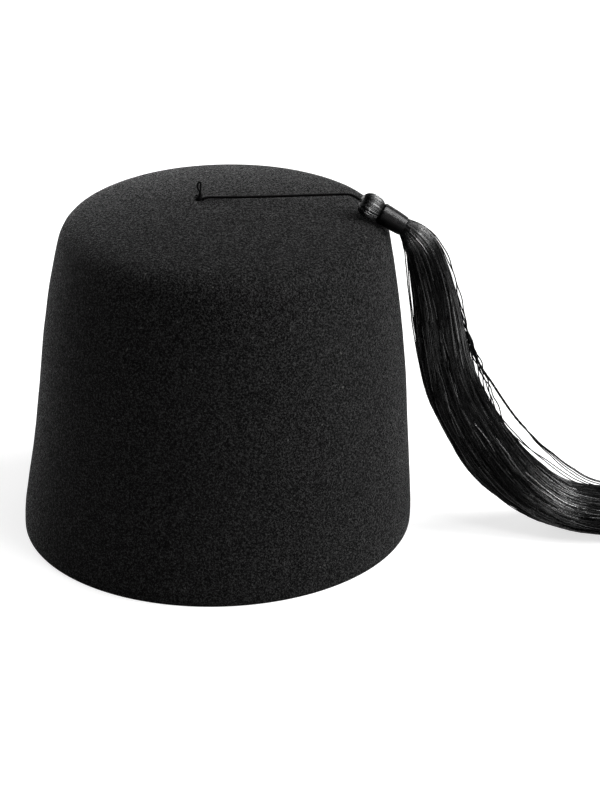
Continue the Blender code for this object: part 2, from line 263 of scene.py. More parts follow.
def threads_mesh(name, lines, radii, sides, reference, shared=None, tone_lift=None, tone_drop=None):
    """Closed round threads as one mesh.

    lines is threads x rings x 3, and radii is for all, for each ring, or threads x rings. reference is a
    direction that no thread follows. shared numbers the group of each thread, whose tone is partly the
    same. The last two raise and lower a thread's tone at each ring, which makes it shinier and paler or
    duller and darker; where they change along a thread, they paint highlights and shade.
    """
    lines = np.asarray(lines, dtype=float)
    count, rings, _ = lines.shape
    radii = np.broadcast_to(np.asarray(radii, dtype=float), (count, rings))
    ahead = unit(np.gradient(lines, axis=1))
    across = unit(np.cross(ahead, np.broadcast_to(np.asarray(reference, dtype=float), ahead.shape)))
    upward = np.cross(across, ahead)
    turn = 2 * np.pi * np.arange(sides) / sides
    points = (lines[:, :, None, :]
              + radii[:, :, None, None] * (np.cos(turn)[None, None, :, None] * across[:, :, None, :]
                                           + np.sin(turn)[None, None, :, None] * upward[:, :, None, :]))
    index = np.arange(count * rings * sides).reshape(count, rings, sides)
    beside = np.roll(index, -1, axis=2)
    quads = np.stack((index[:, :-1], index[:, 1:], beside[:, 1:], beside[:, :-1]), axis=-1).reshape(-1, 4)
    first = index[:, 0, :]
    last = index[:, -1, ::-1]
    corners = np.concatenate((quads.ravel(), first.ravel(), last.ravel()))
    counts = np.concatenate((np.full(len(quads), 4), np.full(2 * count, sides)))
    strip = (np.arange(count)[:, None, None] + STRIP_MARGIN) / count
    width = STRIP_WIDTH / count
    left = np.broadcast_to(strip + width * np.arange(sides)[None, None, :] / sides,
                           (count, rings - 1, sides))
    right = left + width / sides
    low = np.broadcast_to(SIDES_LOW + SIDES_HEIGHT * np.arange(rings - 1)[None, :, None] / (rings - 1),
                          left.shape)
    high = low + SIDES_HEIGHT / (rings - 1)
    quad_uv = np.stack((np.stack((left, low), -1), np.stack((left, high), -1),
                        np.stack((right, high), -1), np.stack((right, low), -1)), axis=-2).reshape(-1, 2)
    end_u = (np.arange(count)[:, None] + 0.5 + ENDS_HALF_WIDTH * np.cos(turn)[None, :]) / count
    end_uv = []
    for middle in ENDS_MIDDLES:
        end_v = np.broadcast_to(middle + ENDS_HALF_HEIGHT * np.sin(turn)[None, :], end_u.shape)
        end_uv.append(np.stack((end_u, end_v), -1).reshape(-1, 2))
    uv = np.concatenate([quad_uv] + end_uv)
    mesh = raw_mesh(name, points.reshape(-1, 3), corners, counts, uv)
    tone = mesh.attributes.new("tone", "FLOAT", "POINT")
    shades = np.random.default_rng(count).uniform(0, 1, count)
    if shared is not None:
        groups = np.random.default_rng(TONE_SEED).uniform(0, 1, 1 + int(np.max(shared)))
        shades = TONE_OWN * shades + TONE_SHARED * groups[shared]
    shades = np.broadcast_to(shades[:, None], (count, rings))
    # raising or lowering the tone paints highlights and shade into the thread's colour and shine
    if tone_lift is not None:
        shades = 1 - (1 - shades) * (1 - tone_lift)
    if tone_drop is not None:
        shades = shades * (1 - tone_drop)
    tone.data.foreach_set("value", np.repeat(shades.ravel(), sides).astype(np.float32))
    return mesh


def lathe_mesh(name, rings):
    """Mesh through rings of points. The first and the last ring are closed by a fan."""
    rings = np.asarray(rings, dtype=float)
    count, sides, _ = rings.shape
    index = np.arange(count * sides).reshape(count, sides)
    beside = np.roll(index, -1, axis=1)
    quads = np.stack((index[:-1], beside[:-1], beside[1:], index[1:]), axis=-1).reshape(-1, 4)
    tips = np.stack((rings[0].mean(axis=0), rings[-1].mean(axis=0)))
    points = np.concatenate((rings.reshape(-1, 3), tips))
    first_fan = np.stack((beside[0], index[0], np.full(sides, count * sides)), axis=-1)
    last_fan = np.stack((index[-1], beside[-1], np.full(sides, count * sides + 1)), axis=-1)
    corners = np.concatenate((quads.ravel(), first_fan.ravel(), last_fan.ravel()))
    counts = np.concatenate((np.full(len(quads), 4), np.full(2 * sides, 3)))
    return raw_mesh(name, points, corners, counts)


def add_piece(name, mesh, material, node):
    """Put a piece into the scene on the one body, in place of the given solid."""
    mesh.materials.append(material)
    piece = bpy.data.objects.new(name, mesh)
    bpy.context.scene.collection.objects.link(piece)
    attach(piece, "root")
    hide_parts(node)
    return piece


# ---------------------------------------- materials

# the felt's patterns, in features for each metre
FIBRE_RATE = 1850.0
TUFT_RATE = 980.0
CLOUD_RATE = 38.0
HAIR_RATE = 4200.0
LINT_RATE = 560.0
FELT_GRAIN = (0.465, 0.635)
FELT_DARKEST = (0.0002, 0.0002, 0.0002, 1)
FELT_DARK = (0.0022, 0.0022, 0.0023, 1)
FELT_PALE = (0.0170, 0.0171, 0.0173, 1)
FELT_PALEST = (0.0480, 0.0480, 0.0478, 1)
LINT_COLOUR = (0.050, 0.050, 0.048, 1)
BLOOM_COLOUR = (0.82, 0.82, 0.83, 1)
BLOOM_MOST = 0.30
FELT_RELIEF = 0.00050
# a thread's darkest and lightest streak, as shares of its colour, and the depth of its finest ones
STREAK_DARK = 0.35
STREAK_LIGHT = 1.9
STREAK_RELIEF = 0.00002


def grey(value):
    return (value, value, value, 1.0)


class Nodes:
    """Short way to write a material's node tree."""

    def __init__(self, name):
        self.material = bpy.data.materials.new(name)
        self.material.use_nodes = True
        self.tree = self.material.node_tree
        self.shader = self.tree.nodes["Principled BSDF"]
        place = self.tree.nodes.new("ShaderNodeTexCoord")
        self.place = place.outputs["Object"]

    def add(self, kind, **inputs):
        node = self.tree.nodes.new(kind)
        for key, value in inputs.items():
            self.put(node.inputs[key.replace("_", " ")], value)
        return node

    def put(self, socket, value):
        if isinstance(value, bpy.types.NodeSocket):
            self.tree.links.new(value, socket)
        else:
            socket.default_value = value

    def attribute(self, name):
        node = self.tree.nodes.new("ShaderNodeAttribute")
        node.attribute_name = name
        return node.outputs["Fac"]

    def noise(self, scale, detail, roughness=0.6, distortion=0.0):
        node = self.add("ShaderNodeTexNoise", Vector=self.place, Scale=scale, Detail=detail,
                        Roughness=roughness, Distortion=distortion)
        return node.outputs["Fac"]

    def math(self, operation, a, b, c=0.0):
        node = self.tree.nodes.new("ShaderNodeMath")
        node.operation = operation
        for socket, value in zip(node.inputs, (a, b, c)):
            self.put(socket, value)
        return node.outputs[0]

    def span(self, value, low, high, to_low, to_high):
        node = self.add("ShaderNodeMapRange", Value=value, From_Min=low, From_Max=high,
                        To_Min=to_low, To_Max=to_high)
        return node.outputs[0]

    def mix(self, share, one, two):
        node = self.tree.nodes.new("ShaderNodeMix")
        node.data_type = "RGBA"
        self.put(node.inputs[0], share)
        self.put(node.inputs[6], one)
        self.put(node.inputs[7], two)
        return node.outputs[2]

    def bump(self, height, distance, strength):
        node = self.add("ShaderNodeBump", Height=height, Distance=distance, Strength=strength)
        return node.outputs["Normal"]

    def set(self, **inputs):
        for key, value in inputs.items():
            self.put(self.shader.inputs[key.replace("_", " ")], value)
        return self.material


def felt_material():
    """Blocked wool felt: matt and nearly black, mottled by short fibres, with a pale bloom."""
    n = Nodes("wool_felt")
    fibre = n.noise(FIBRE_RATE, 2.0, 0.6, 0.8)
    tuft = n.noise(TUFT_RATE, 1.5, 0.6, 0.4)
    cloud = n.noise(CLOUD_RATE, 3.0, 0.5)
    grain = n.math("MULTIPLY_ADD", tuft, 0.40, n.math("MULTIPLY", fibre, 0.60))
    hair = n.span(n.noise(HAIR_RATE, 2.0, 0.6, 1.5), 0.3, 0.7, 0.0, 1.0)
    mottle = n.math("MULTIPLY_ADD", cloud, 0.2, n.math("MULTIPLY", hair, 0.8))
    dark = n.mix(mottle, FELT_DARKEST, FELT_DARK)
    pale = n.mix(mottle, FELT_PALE, FELT_PALEST)
    colour = n.mix(n.span(grain, *FELT_GRAIN, 0.0, 1.0), dark, pale)
    lint = n.span(n.noise(LINT_RATE, 0.0), 0.83, 0.87, 0.0, 1.0)
    colour = n.mix(lint, colour, LINT_COLOUR)
    # the bloom grows towards the edges of the form, where the nap is seen from the side
    facing = n.add("ShaderNodeLayerWeight", Blend=0.5).outputs["Facing"]
    edge = n.math("MULTIPLY_ADD", n.math("POWER", facing, 4.0), 2.0, 0.95)
    bloom = n.math("MULTIPLY", n.span(grain, *FELT_GRAIN, 0.0, BLOOM_MOST), edge)
    height = n.math("MULTIPLY_ADD", fibre, 0.5, tuft)
    return n.set(Base_Color=colour, Roughness=n.span(tuft, 0.3, 0.7, 0.86, 0.98),
                 Normal=n.bump(height, FELT_RELIEF, 0.6), Specular_IOR_Level=0.06,
                 Sheen_Weight=bloom, Sheen_Roughness=0.32, Sheen_Tint=BLOOM_COLOUR)


def thread_material(name, colour, roughness, along, dull, shiny, index=1.5, rarity=4.0):
    """Silky twisted thread. along is how fine the streaks are, in features for each metre.

    dull and shiny are the specular levels of the dullest and the shiniest thread of the bundle, and
    rarity says how few of its threads are nearly as shiny as the shiniest one.
    """
    n = Nodes(name)
    tone = n.attribute("tone")
    streak = n.noise(along, 2.0, 0.5)
    fine = n.noise(along * 4.0, 2.0, 0.5)
    low = tuple(STREAK_DARK * c for c in colour) + (1,)
    high = tuple(STREAK_LIGHT * c for c in colour) + (1,)
    shade = n.mix(n.math("MULTIPLY_ADD", tone, 0.6, n.math("MULTIPLY", streak, 0.4)), low, high)
    shine = dull
    if shiny > dull:
        shine = n.span(n.math("POWER", tone, rarity), 0.0, 1.0, dull, shiny)
    return n.set(Base_Color=shade, Roughness=n.span(streak, 0.3, 0.7, roughness - 0.05, roughness + 0.07),
                 Normal=n.bump(fine, STREAK_RELIEF, 0.5), Specular_IOR_Level=shine, IOR=index)


FELT = felt_material()
SILK = thread_material("silky_thread", (0.0018, 0.0018, 0.0019), roughness=0.24, along=900.0,
                       dull=0.02, shiny=1.0, index=2.3, rarity=6.0)
BALL_SILK = thread_material("ball_silk", (0.0020, 0.0020, 0.0021), roughness=0.25, along=900.0,
                            dull=0.03, shiny=1.0, index=1.95)
CUT_THREAD = thread_material("cut_thread", (0.0030, 0.0030, 0.0031), roughness=0.36, along=900.0,
                             dull=0.08, shiny=0.60)
CORE_THREAD = thread_material("inner_thread", (0.0010, 0.0010, 0.0010), roughness=0.6, along=900.0,
                              dull=0.05, shiny=0.05)
CORD_THREAD = thread_material("cord_thread", (0.0008, 0.0008, 0.0009), roughness=0.5, along=1500.0,
                              dull=0.06, shiny=0.06)
WOUND_THREAD = thread_material("wound_thread", (0.0018, 0.0018, 0.0019), roughness=0.18, along=1500.0,
                               dull=0.03, shiny=0.47, index=1.75)

# ---------------------------------------- cord

# where the cord comes up through the felt
CORD_TAIL = (-0.0038, -0.0008, 0.1668)
CORD_STEP = 0.00030
CORD_PLIES = 3
PLY_SHARE = 0.52
PLY_RADIUS = PLY_SHARE * CORD_DIAMETER / 2
PLY_LOOSENESS = 0.00003
PLY_OFFSET = CORD_DIAMETER / 2 - PLY_RADIUS + PLY_LOOSENESS
PLY_PITCH = 0.0034
PLY_SIDES = 8
CORD_UNEVENNESS = 0.07
CORD_WAVES = (0.011, 0.027)
CORD_SWELLING = (
    # along the cord, share of its thickness
    (0.000, 1.14),
    (0.023, 1.10),
    (0.046, 1.00),
)

cord_line, _ = smooth_route(CORD_ROUTE, CORD_STEP)


def twisted_lines(line, run, plies, offset, pitch):
    """The lines of the plies that are twisted round a centre line."""
    ahead = unit(np.gradient(line, axis=0))
    across = unit(np.cross(ahead, np.broadcast_to(np.array(Y_AXIS), ahead.shape)))
    upward = np.cross(across, ahead)
    lines = []
    for k in range(plies):
        turn = 2 * np.pi * (run / pitch + k / plies)
        lines.append(line + offset * (np.cos(turn)[:, None] * across + np.sin(turn)[:, None] * upward))
    return np.array(lines)


def build_cord():
    """Three ply cord from the knot to the ball, a little thicker at the knot."""
    line, run = smooth_route((CORD_TAIL,) + CORD_ROUTE, CORD_STEP)
    plies = twisted_lines(line, run, CORD_PLIES, PLY_OFFSET, PLY_PITCH)
    short_wave, long_wave = CORD_WAVES
    waves = np.sin(2 * np.pi * run / short_wave + 1.0) * np.sin(2 * np.pi * run / long_wave)
    radii = PLY_RADIUS * (1 + CORD_UNEVENNESS * waves) * from_table(CORD_SWELLING, run)
    mesh = threads_mesh("hanging_cord", plies, radii, PLY_SIDES, Y_AXIS)
    cord = add_piece("hanging_cord", mesh, CORD_THREAD, "tassel_cord")


build_cord()

# ---------------------------------------- crown

DOME_STEPS = 24
SHOULDER_STEPS = 16
WALL_STEPS = 48
EDGE_STEPS = 6
SLOPE_REACH = 0.0005
# the unevenness fades out over this height above the rim
UNEVEN_ABOVE = 0.012
UNEVENNESS = (
    # size, waves in each metre
    (0.00022, 42.0),
    (0.00009, 130.0),
)


def wall_top():
    return CROWN_HEIGHT - DOME_RISE - SHOULDER_HEIGHT


def wall_radius(z):
    share = z / wall_top()
    foot = RIM_RADIUS - RIM_FLARE
    taper = foot + (SHOULDER_RADIUS - foot) * share
    bulge = 4 * WALL_BULGE * share * (1 - share)
    return taper + bulge + RIM_FLARE * math.exp(-(z / FLARE_HEIGHT) ** FLARE_POWER)


def wall_slope(z):
    return (wall_radius(z + SLOPE_REACH) - wall_radius(z - SLOPE_REACH)) / (2 * SLOPE_REACH)


def top_profile():
    """Outer (radius, height) points of the dome and shoulder, from the middle out and down."""
    dome_radius = SHOULDER_RADIUS - SHOULDER_WIDTH
    dome = []
    for i in range(1, DOME_STEPS + 1):
        radius = dome_radius * i / DOME_STEPS
        dome.append((radius, CROWN_HEIGHT - DOME_RISE * (radius / dome_radius) ** 2))
    start = np.array(dome[-1])
    end = np.array((wall_radius(wall_top()), wall_top()))
    out = SHOULDER_FULLNESS * SHOULDER_WIDTH * np.array((1.0, -2 * DOME_RISE / dome_radius))
    up = SHOULDER_FULLNESS * SHOULDER_HEIGHT * np.array((wall_slope(wall_top()), 1.0))
    shoulder = []
    for i in range(1, SHOULDER_STEPS + 1):
        t = i / SHOULDER_STEPS
        shoulder.append(tuple((1 - t) ** 3 * start + 3 * (1 - t) ** 2 * t * (start + out)
                              + 3 * (1 - t) * t ** 2 * (end + up) + t ** 3 * end))
    return dome + shoulder


def edge_profile():
    """(radius, height) points round the two small roundings of the cut edge, from outside to inside."""
    rim_out = wall_radius(EDGE_ROUND) - EDGE_ROUND
    rim_in = wall_radius(EDGE_ROUND) - FELT_THICKNESS + EDGE_ROUND
    turns = [math.radians(90 * i / EDGE_STEPS) for i in range(EDGE_STEPS + 1)]
    outside = [(rim_out + EDGE_ROUND * math.cos(t), EDGE_ROUND * (1 - math.sin(t))) for t in turns]
    inside = [(rim_in - EDGE_ROUND * math.sin(t), EDGE_ROUND * (1 - math.cos(t))) for t in turns]
    return outside + inside


def crown_axis(z):
    """Place of the crown's axis along X at one height or more."""
    return CROWN_LEAN * z + CROWN_SWAY * np.sin(np.pi * np.minimum(z / SWAY_HEIGHT, 1.0)) ** 2


def crown_profile():
    """(radius, height) points from the top's middle down the outside, round the rim and up the inside."""
    top = top_profile()
    heights = [wall_top() * (1 - i / WALL_STEPS) for i in range(1, WALL_STEPS)]
    wall = [(wall_radius(z), z) for z in heights]
    outer = np.array([(0.0, CROWN_HEIGHT)] + top + wall)
    along = np.gradient(outer, axis=0)
    normal = unit(np.column_stack((-along[:, 1], along[:, 0])))
    inner = [tuple(p) for p in (outer - FELT_THICKNESS * normal)[1:]]
    return top + wall + edge_profile() + inner[::-1]


def felt_unevenness(point):
    """How far felt that was pressed over a block stands out at one point."""
    return sum(size * noise.noise(point * rate) for size, rate in UNEVENNESS)


def build_crown():
    turn = 2 * np.pi * np.arange(CROWN_SIDES) / CROWN_SIDES
    rings = []
    for radius, z in crown_profile():
        ring = np.column_stack((radius * np.cos(turn) + crown_axis(z), radius * np.sin(turn),
                                np.full(CROWN_SIDES, z)))
        rings.append(ring)
    rings = np.array(rings)
    centre = np.zeros_like(rings)
    centre[..., 0] = crown_axis(rings[..., 2])
    centre[..., 2] = rings[..., 2]
    outward = unit(rings - centre)
    lift = np.empty(rings.shape[:2])
    for i in range(rings.shape[0]):
        hold = min(1.0, rings[i, 0, 2] / UNEVEN_ABOVE)
        for k in range(CROWN_SIDES):
            lift[i, k] = hold * felt_unevenness(Vector(rings[i, k]))
    rings += outward * lift[..., None]
    mesh = lathe_mesh("felt_crown", rings)
    add_piece("felt_crown", mesh, FELT, "crown")


build_crown()

# ---------------------------------------- stalk, loop and knot

# places of the doubled thread's foot, the stalk's middle and the loop's foot, as shares of the stalk
STALK_SHARES = (0.05, 0.45, 0.80)
STALK_APART = 0.00022
LOOP_STEPS = 22
LOOP_ROUTE_STEP = 0.00016
# the loop's width, as shares: at its foot, gained by its tip, and of its first and second half
LOOP_FOOT_WIDTH = 0.45
LOOP_TIP_WIDTH = 0.75
LOOP_HALVES = (1.05, 0.70)
LOOP_BEND = 0.00035
LOOP_TIP_ASIDE = 0.00030
LOOP_DEPTH = 0.0003
LOOP_PLIES = 2
LOOP_PLY_OFFSET = 0.00021
LOOP_PLY_PITCH = 0.0017
LOOP_PLY_RADIUS = 0.00033
KNOT_THREAD = 0.00042
KNOT_STEPS = 49
KNOT_ASIDE = 0.0002
KNOT_WRAPS = (
    # share of the knot's size, height over the felt, tilt from one side to the other
    (1.00, 0.00060, 0.000040),
    (0.90, 0.00125, -0.000088),
    (0.55, 0.00185, 0.000100),
)
KNOT_END_HEIGHT = 0.0008
# a thread's end comes past the top of its arch, but not all the way down
KNOT_ARCH_SHARE = 0.6
KNOT_ENDS = (
    # x and y of where a thread's end lies, height of its arch
    (-0.0077, 0.0002, 0.0006),
    (-0.0042, -0.0006, 0.0005),
    (-0.0070, 0.0006, 0.0015),
    (-0.0040, 0.0004, 0.0014),
)


def build_thread_loop():
    """Doubled thread that rises as a stalk and opens into a loop."""
    foot, middle, loop_foot = (STALK_FOOT.lerp(STALK_TOP, share) for share in STALK_SHARES)
    rise_all = LOOP_TIP - loop_foot
    side = rise_all.cross(Vector(Y_AXIS)).normalized()
    route = [foot - STALK_APART * side, middle - STALK_APART * side]
    for i in range(1, LOOP_STEPS):
        turn = 2 * math.pi * i / LOOP_STEPS
        rise = (1 - math.cos(turn)) / 2
        half = LOOP_HALVES[0] if turn < math.pi else LOOP_HALVES[1]
        out = -LOOP_HALF_WIDTH * math.sin(turn) * (LOOP_FOOT_WIDTH + LOOP_TIP_WIDTH * rise) * half
        out += LOOP_BEND * math.sin(math.pi * rise) - LOOP_TIP_ASIDE * rise ** 3
        depth = Vector((0.0, LOOP_DEPTH * math.cos(turn / 2), 0.0))
        route.append(loop_foot + rise * rise_all + out * side + depth)
    route.append(middle + STALK_APART * side)
    route.append(foot + STALK_APART * side)
    line, run = smooth_route([tuple(p) for p in route], LOOP_ROUTE_STEP)
    plies = twisted_lines(line, run, LOOP_PLIES, LOOP_PLY_OFFSET, LOOP_PLY_PITCH)
    mesh = threads_mesh("thread_loop", plies, LOOP_PLY_RADIUS, PLY_SIDES, Y_AXIS)
    add_piece("thread_loop", mesh, CORD_THREAD, "stem_loop")


def dome_height(x, y):
    radius = math.hypot(x - crown_axis(CROWN_HEIGHT), y)
    return CROWN_HEIGHT - DOME_RISE * (radius / (SHOULDER_RADIUS - SHOULDER_WIDTH)) ** 2


def over_felt(x, y, height):
    """Points at a height over the felt of the top."""
    felt = np.array([dome_height(a, b) for a, b in zip(x, y)])
    return np.column_stack((x, y, felt + height))


def build_thread_knot():
    """Thread wrapped round the stalk's foot, with four short ends that arch down to the felt."""
    middle_x, middle_y = KNOT_CENTRE
    lines = []
    turn = np.linspace(0, 2 * np.pi, KNOT_STEPS)
    for k, (share, height, tilt) in enumerate(KNOT_WRAPS):
        x = middle_x + KNOT_ASIDE * k + share * KNOT_RADII[0] * np.cos(turn)
        y = middle_y + share * KNOT_RADII[1] * np.sin(turn)
        lines.append(over_felt(x, y, height + tilt * np.cos(turn)))
    t = np.linspace(0, 1, KNOT_STEPS)
    for end_x, end_y, arch in KNOT_ENDS:
        x = middle_x + (end_x - middle_x) * t
        y = middle_y + (end_y - middle_y) * t
        lines.append(over_felt(x, y, KNOT_END_HEIGHT + arch * np.sin(KNOT_ARCH_SHARE * np.pi * t)))
    mesh = threads_mesh("thread_knot", np.array(lines), KNOT_THREAD, PLY_SIDES, Z_AXIS)
    add_piece("thread_knot", mesh, CORD_THREAD, "stem_loop")


build_thread_loop()
build_thread_knot()

# ---------------------------------------- tassel head

HEAD_AXIS = np.array((NECK_END - KNOB_CENTRE).normalized())
HEAD_LEVEL = unit(np.array(Y_AXIS) - HEAD_AXIS * HEAD_AXIS[1])
HEAD_DOWN = np.cross(HEAD_LEVEL, HEAD_AXIS)
NECK_LENGTH = (NECK_END - KNOB_CENTRE).length

BALL_THREADS = 84
BALL_RINGS = 30
BALL_SIDES = 5
# a ball thread's thinnest and thickest radius, and how closely the threads lie
BALL_THINNEST = 0.00008
BALL_THICKEST = 0.00027
BALL_CLOSENESS = 0.62
BALL_JITTER = 0.35
BALL_SINK = 0.00012
BALL_BEND = (0.01, 0.035)
BALL_BEND_RATE = 3.0
BALL_DRAWN = 0.70
# the first share of every thread crosses the flat cap, from this radius out
CAP_SHARE = 0.10
CAP_START_RADIUS = 0.0010
CAP_EDGE = 0.93
BALL_COURSE = (
    # share of a thread, place from the ball's middle in half lengths: from the cap's middle to the neck
    (0.00, -1.00),
    (CAP_SHARE, -CAP_EDGE),
    (0.22, -0.80),
    (0.80, 0.74),
    (1.00, 0.87),
)
BALL_PAINTED_SHADE = (
    # place along the ball from its middle, how much its threads are dulled and darkened: painted shade at
    # both ends of the ball
    (-0.0058, 0.32),
    (-0.0030, 0.22),
    (-0.0015, 0.00),
    (0.0015, 0.03),
    (0.0030, 0.26),
    (0.0046, 0.40),
)

WINDING_THREAD = 0.00022
WINDING_SIDES = 7
WINDING_CLOSENESS = 0.98
WINDING_STEPS = 30
WINDING_START_GAP = 0.0003
WINDING_END_GAP = 0.0007
WINDING_WOBBLE = 0.00005
WINDING_WOBBLE_RATE = 0.35
# painted shade: the winding is made duller and darker on its underside
UNDERSIDE_PAINTED_SHADE = 0.55
UNDERSIDE_START = 0.20
UNDERSIDE_SPAN = 0.34


def knob_radius(along):
    return KNOB_RADIUS * np.sqrt(np.maximum(1 - np.abs(along / KNOB_HALF_LENGTH) ** KNOB_SHAPE, 0.0))


def around_head(along, radius, turn):
    """Points round the axis of the tassel's head."""
    return (np.array(KNOB_CENTRE) + along[..., None] * HEAD_AXIS
            + radius[..., None] * (np.cos(turn)[..., None] * HEAD_DOWN
                                   + np.sin(turn)[..., None] * HEAD_LEVEL))


def build_knob():
    """Ball of threads that run from the cord over the ball into the neck."""
    share = np.linspace(0, 1, BALL_RINGS)
    swing = from_table(BALL_COURSE, share)
    along = swing * np.where(swing < 0, KNOB_CAP, KNOB_HALF_LENGTH)
    cap = np.interp(share, (0, CAP_SHARE), (CAP_START_RADIUS, knob_radius(-KNOB_CAP * CAP_EDGE)))
    radius = np.where(share < CAP_SHARE, cap, knob_radius(along))
    thread = np.clip(BALL_CLOSENESS * 2 * np.pi * radius / BALL_THREADS, BALL_THINNEST, BALL_THICKEST)
    lines = []
    for i in range(BALL_THREADS):
        turn = 2 * np.pi * (i + BALL_JITTER * rng.uniform(-1, 1)) / BALL_THREADS
        sink = BALL_SINK * rng.uniform(-1, 1)
        phase = rng.uniform(0, 2 * np.pi)
        bend = rng.uniform(*BALL_BEND)
        angle = turn + bend * np.sin(BALL_BEND_RATE * share + phase)
        lines.append(around_head(along, radius - thread + sink * np.sin(np.pi * share), angle))
    # no thread of the ball follows this direction
    reference = HEAD_LEVEL + 0.37 * HEAD_DOWN
    # painted shade: the ball's threads are dulled and darkened towards both ends
    mesh = threads_mesh("tassel_ball", np.array(lines), thread, BALL_SIDES, reference,
                        tone_lift=BALL_DRAWN, tone_drop=from_table(BALL_PAINTED_SHADE, along))
    add_piece("tassel_ball", mesh, BALL_SILK, "tassel_skein")


def build_winding():
    """Thread wound round the neck in a close helix."""
    first = NECK_START + WINDING_START_GAP
    last = NECK_LENGTH - WINDING_END_GAP
    turns = (last - first) / (2 * WINDING_THREAD * WINDING_CLOSENESS)
    t = np.linspace(0, 1, int(turns * WINDING_STEPS))
    along = first + (last - first) * t
    wobble = np.array([noise.noise(Vector((WINDING_WOBBLE_RATE * turns * u, 4.0, 0.0))) for u in t])
    radius = from_table(BINDING_SHAPE, t) - WINDING_THREAD + WINDING_WOBBLE * wobble
    turn = 2 * np.pi * turns * t
    line = around_head(along, radius, turn)
    # painted shade on the winding's underside, by its turn round the neck
    under = UNDERSIDE_PAINTED_SHADE * np.clip((np.cos(turn) + UNDERSIDE_START) / UNDERSIDE_SPAN, 0.0, 1.0)
    mesh = threads_mesh("neck_winding", line[None], WINDING_THREAD, WINDING_SIDES, HEAD_AXIS,
                        tone_lift=1.0, tone_drop=under)
    add_piece("neck_winding", mesh, WOUND_THREAD, "neck_binding")


build_knob()
build_winding()

# ---------------------------------------- skirt: its middle line and sections

SKIRT_STEP = 0.001
# how far the middle line reaches back into the neck, and how far apart its direction is taken
SKIRT_BACK = 0.003
SKIRT_REACH = 0.0035

skirt_line, skirt_run = smooth_route((tuple(NECK_END),) + SKIRT_ROUTE, SKIRT_STEP)
SKIRT_LENGTH = float(skirt_run[-1])
skirt_line = np.vstack((np.array(NECK_END) - SKIRT_BACK * HEAD_AXIS, skirt_line))
skirt_run = np.concatenate(([-SKIRT_BACK], skirt_run))


def skirt_centre(along):
    """Points on the skirt's middle line, at distances from the neck."""
    return np.stack([np.interp(along, skirt_run, skirt_line[:, k]) for k in range(3)], axis=-1)


def skirt_place(along, high, wide, out=0.0, turn=0.0):
    """Points in the skirt at distances along it, by shares of its half height and half width.

    out moves them away from the middle, in the direction of turn.
    """
    along = np.asarray(along, dtype=float)
    ahead = unit(skirt_centre(along + SKIRT_REACH) - skirt_centre(along - SKIRT_REACH))
    level = unit(np.array(Y_AXIS) - ahead * ahead[..., 1:2])
    under = np.cross(level, ahead)
    half_height = np.where(along < 0, CORE_RADIUS, from_table(SKIRT_SECTIONS, along, 1))
    half_width = np.where(along < 0, CORE_RADIUS, from_table(SKIRT_SECTIONS, along, 2))
    away = from_table(THREAD_BODY, along, 1)
    towards = from_table(THREAD_BODY, along, 2)
    half_height = half_height * (away + (towards - away) * np.clip(high, 0.0, 1.0))
    high = high * half_height + out * np.cos(turn)
    wide = wide * half_width + out * np.sin(turn)
    return skirt_centre(along) + high[..., None] * under + wide[..., None] * level


def keep_above_floor(points, height):
    """Raise the points that are lower than this height over the gap above the floor."""
    points[..., 2] = np.maximum(points[..., 2], FLOOR_GAP + height)


def wander(count, along, wavelengths, amplitude):
    """Slow random sideways drift of threads, zero at the neck."""
    total = np.zeros((count, along.shape[-1]))
    for wavelength in wavelengths:
        phase = rng.uniform(0, 2 * np.pi, (count, 1))
        size = amplitude * rng.normal(0, 1, (count, 1)) / len(wavelengths)
        total += size * (np.sin(2 * np.pi * along / wavelength + phase) - np.sin(phase))
    return total


# ---------------------------------------- skirt: dark bundle

CORE_SIDES = 96
CORE_STEPS = 14
# the bundle's start on the cap, its gap below the ball's threads and its smallest radius
CORE_CAP = 0.96
CORE_GAP = 0.00035
CORE_TIP = 0.0012
# its rings before the neck, after the neck's start and before the neck's end
CORE_BEFORE_NECK = 0.0002
CORE_IN_NECK = 0.0004
CORE_NECK_END = 0.001
# its rings in the skirt: first, last and how many near the neck, then first, how far from the end, how many
CORE_NEAR = (0.0008, 0.012, 8)
CORE_FAR_FROM = 0.018
CORE_END = 0.009
CORE_FAR = 42
CORE_SHARE = 0.86
CORE_GROOVE = 0.6
CORE_FLOOR = 0.0004


def head_ring(along, radius, turn):
    """One ring of the dark bundle in the ball or the neck."""
    return around_head(np.full(CORE_SIDES, along), np.full(CORE_SIDES, radius), turn)


def build_core():
    """Dark bundle inside the ball, the neck and the skirt."""
    turn = 2 * np.pi * np.arange(CORE_SIDES) / CORE_SIDES
    rings = []
    for along in np.linspace(-KNOB_CAP * CORE_CAP, NECK_START - CORE_BEFORE_NECK, CORE_STEPS):
        rings.append(head_ring(along, max(float(knob_radius(along)) - CORE_GAP, CORE_TIP), turn))
    for along in (NECK_START + CORE_IN_NECK, (NECK_START + NECK_LENGTH) / 2, NECK_LENGTH - CORE_NECK_END):
        rings.append(head_ring(along, CORE_RADIUS, turn))
    near = np.linspace(*CORE_NEAR)
    far = np.linspace(CORE_FAR_FROM, SKIRT_LENGTH - CORE_END, CORE_FAR)
    ridge = np.abs(np.cos(LOCKS * turn / 2))
    for along in np.concatenate((near, far)):
        groove = float(from_table(SKIRT_SECTIONS, along, 3))
        share = CORE_SHARE * (1 - CORE_GROOVE * groove * (1 - ridge))
        rings.append(skirt_place(np.full(CORE_SIDES, along), share * np.cos(turn), share * np.sin(turn)))
    rings = np.array(rings)
    keep_above_floor(rings, CORE_FLOOR)
    mesh = lathe_mesh("tassel_core", rings)
    add_piece("tassel_core", mesh, CORE_THREAD, "tassel_skein")


# ---------------------------------------- skirt: long threads

LAYERS = (
    # name, threads, small locks, share of the half sizes from and to, thread radius, drift
    ("skirt_threads_inner", 230, 26, 0.84, 0.930, 0.00027, 0.006),
    ("skirt_threads_middle", 300, 40, 0.88, 0.970, 0.00025, 0.006),
    ("skirt_threads_outer", 300, 52, 0.93, 0.985, 0.00023, 0.007),
)
